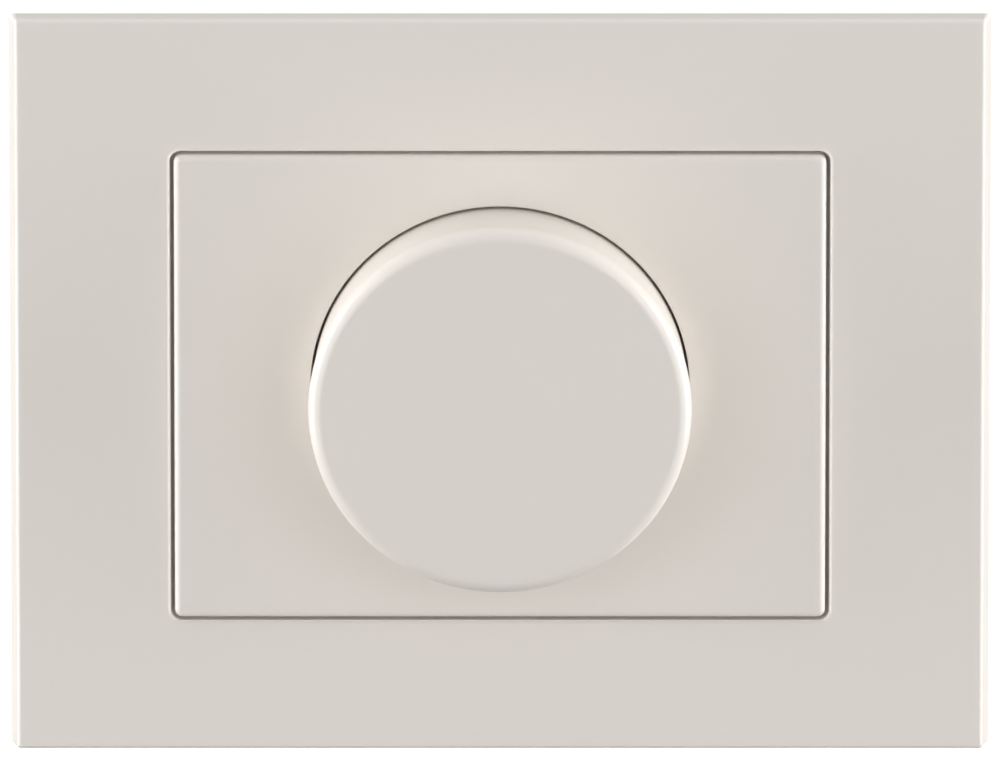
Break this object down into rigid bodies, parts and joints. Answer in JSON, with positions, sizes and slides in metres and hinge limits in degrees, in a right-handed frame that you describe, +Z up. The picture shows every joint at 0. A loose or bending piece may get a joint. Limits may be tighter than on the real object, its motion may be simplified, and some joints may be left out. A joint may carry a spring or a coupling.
{
  "type": "rotary dimmer switch",
  "caption": "Flush wall dimmer with a wide rectangular cover frame, a centre plate and a large round knob that turns to dim and pushes to switch, on an insert for a round wall box.",
  "frame": {"origin": "on the knob's axis, in the plane of the wall surface, which is the back of the support frame, midway between the box screws", "axes": "+X right and +Z up as seen from the room, -Y out of the wall towards the viewer, +Y into the wall box"},
  "size_m": [0.1076, 0.0487, 0.0842],
  "materials": {
    "front_plastic": "warm white, satin gloss",
    "insert_plastic": "grey, fine grain",
    "housing_plastic": "dark grey, fine grain",
    "terminal_plastic": "light grey",
    "black_plastic": "black",
    "natural_nylon": "natural, smooth",
    "zinc_steel": "bright zinc plate",
    "yellow_zinc_steel": "yellow zinc plate",
    "spring_steel": "spring temper",
    "spring_bronze": "rolled bronze",
    "brass": "turned",
    "nickel": "nickel plate",
    "aluminium": "rolled sheet",
    "board": "green solder mask",
    "fuse_glass": "clear",
    "ferrite": "ground ferrite",
    "copper_wire": "enamelled copper",
    "capacitor_case": "yellow case",
    "timing_case": "dipped red-brown",
    "resistor_body": "lacquered",
    "diac_body": "lacquered",
    "black_epoxy": "moulded epoxy",
    "pad_rubber": "silicone sheet",
    "phenolic": "phenolic paper"
  },
  "bodies": {
    "insert": {"cover_frame": "front_plastic", "centre_plate": "front_plastic", "retaining_nut": "brass", "lock_washer": "zinc_steel", "insert_cover": "insert_plastic", "cover_screws": "zinc_steel", "support_frame": "zinc_steel", "heat_sink": "aluminium", "housing": "housing_plastic", "housing_screws": "zinc_steel", "circuit_board": "board", "terminal_block": "terminal_plastic", "terminal_cages": "brass", "terminal_screws": "zinc_steel", "fuse_glass": "fuse_glass", "fuse_caps": "nickel", "fuse_wire": "nickel", "fuse_clips": "nickel", "choke_core": "ferrite", "choke_winding": "copper_wire", "suppression_capacitor": "capacitor_case", "timing_capacitor": "timing_case", "resistors": "resistor_body", "trigger_diac": "diac_body", "power_triac": "black_epoxy", "thermal_pad": "pad_rubber", "triac_screw": "zinc_steel", "pot_bush": "brass", "pot_case": "black_plastic", "resistive_track": "phenolic", "pot_pins": "nickel", "switch_case": "black_plastic", "return_spring": "spring_steel", "fixed_contacts": "spring_bronze"},
    "rotor": {"wiper_carrier": "natural_nylon", "wiper_contact": "spring_bronze"},
    "knob": {"knob": "front_plastic", "knob_clip": "spring_steel", "pot_shaft": "brass"},
    "plunger": {"switch_plunger": "natural_nylon", "contact_bridge": "spring_bronze"},
    "claw_left": {"claw_left": "yellow_zinc_steel"},
    "claw_right": {"claw_right": "yellow_zinc_steel"},
    "claw_screw_left": {"claw_screw_left": "zinc_steel"},
    "claw_screw_right": {"claw_screw_right": "zinc_steel"}
  },
  "joints": [
    {"name": "knob_turn", "type": "hinge", "parent": "insert", "child": "rotor", "pos_m": [0, 0, 0], "axis": [0, 1, 0], "range_deg": [0, 270]},
    {"name": "knob_push", "type": "slide", "parent": "rotor", "child": "knob", "axis": [0, 1, 0], "range_m": [0, 0.0012], "stiffness_N_per_m": 2500, "springref_m": -0.0012},
    {"name": "plunger_push", "type": "slide", "parent": "insert", "child": "plunger", "axis": [0, 1, 0], "range_m": [0, 0.0012], "deforming": ["return_spring"]},
    {"name": "claw_screw_left_turn", "type": "hinge", "parent": "insert", "child": "claw_screw_left", "pos_m": [-0.0237, 0, 0], "axis": [0, 1, 0], "range_deg": [0, 1800]},
    {"name": "claw_left_spread", "type": "slide", "parent": "insert", "child": "claw_left", "axis": [-0.5, -0.866, 0], "range_m": [0, 0.00404]},
    {"name": "claw_screw_right_turn", "type": "hinge", "parent": "insert", "child": "claw_screw_right", "pos_m": [0.0237, 0, 0], "axis": [0, 1, 0], "range_deg": [0, 1800]},
    {"name": "claw_right_spread", "type": "slide", "parent": "insert", "child": "claw_right", "axis": [0.5, -0.866, 0], "range_m": [0, 0.00404]}
  ],
  "couplings": [
    {"joint": "plunger_push", "follows": "knob_push", "ratio": 1},
    {"joint": "claw_screw_left_turn", "follows": "claw_left_spread", "rad_per_m": 7775.4},
    {"joint": "claw_screw_right_turn", "follows": "claw_right_spread", "rad_per_m": 7775.4}
  ]
}
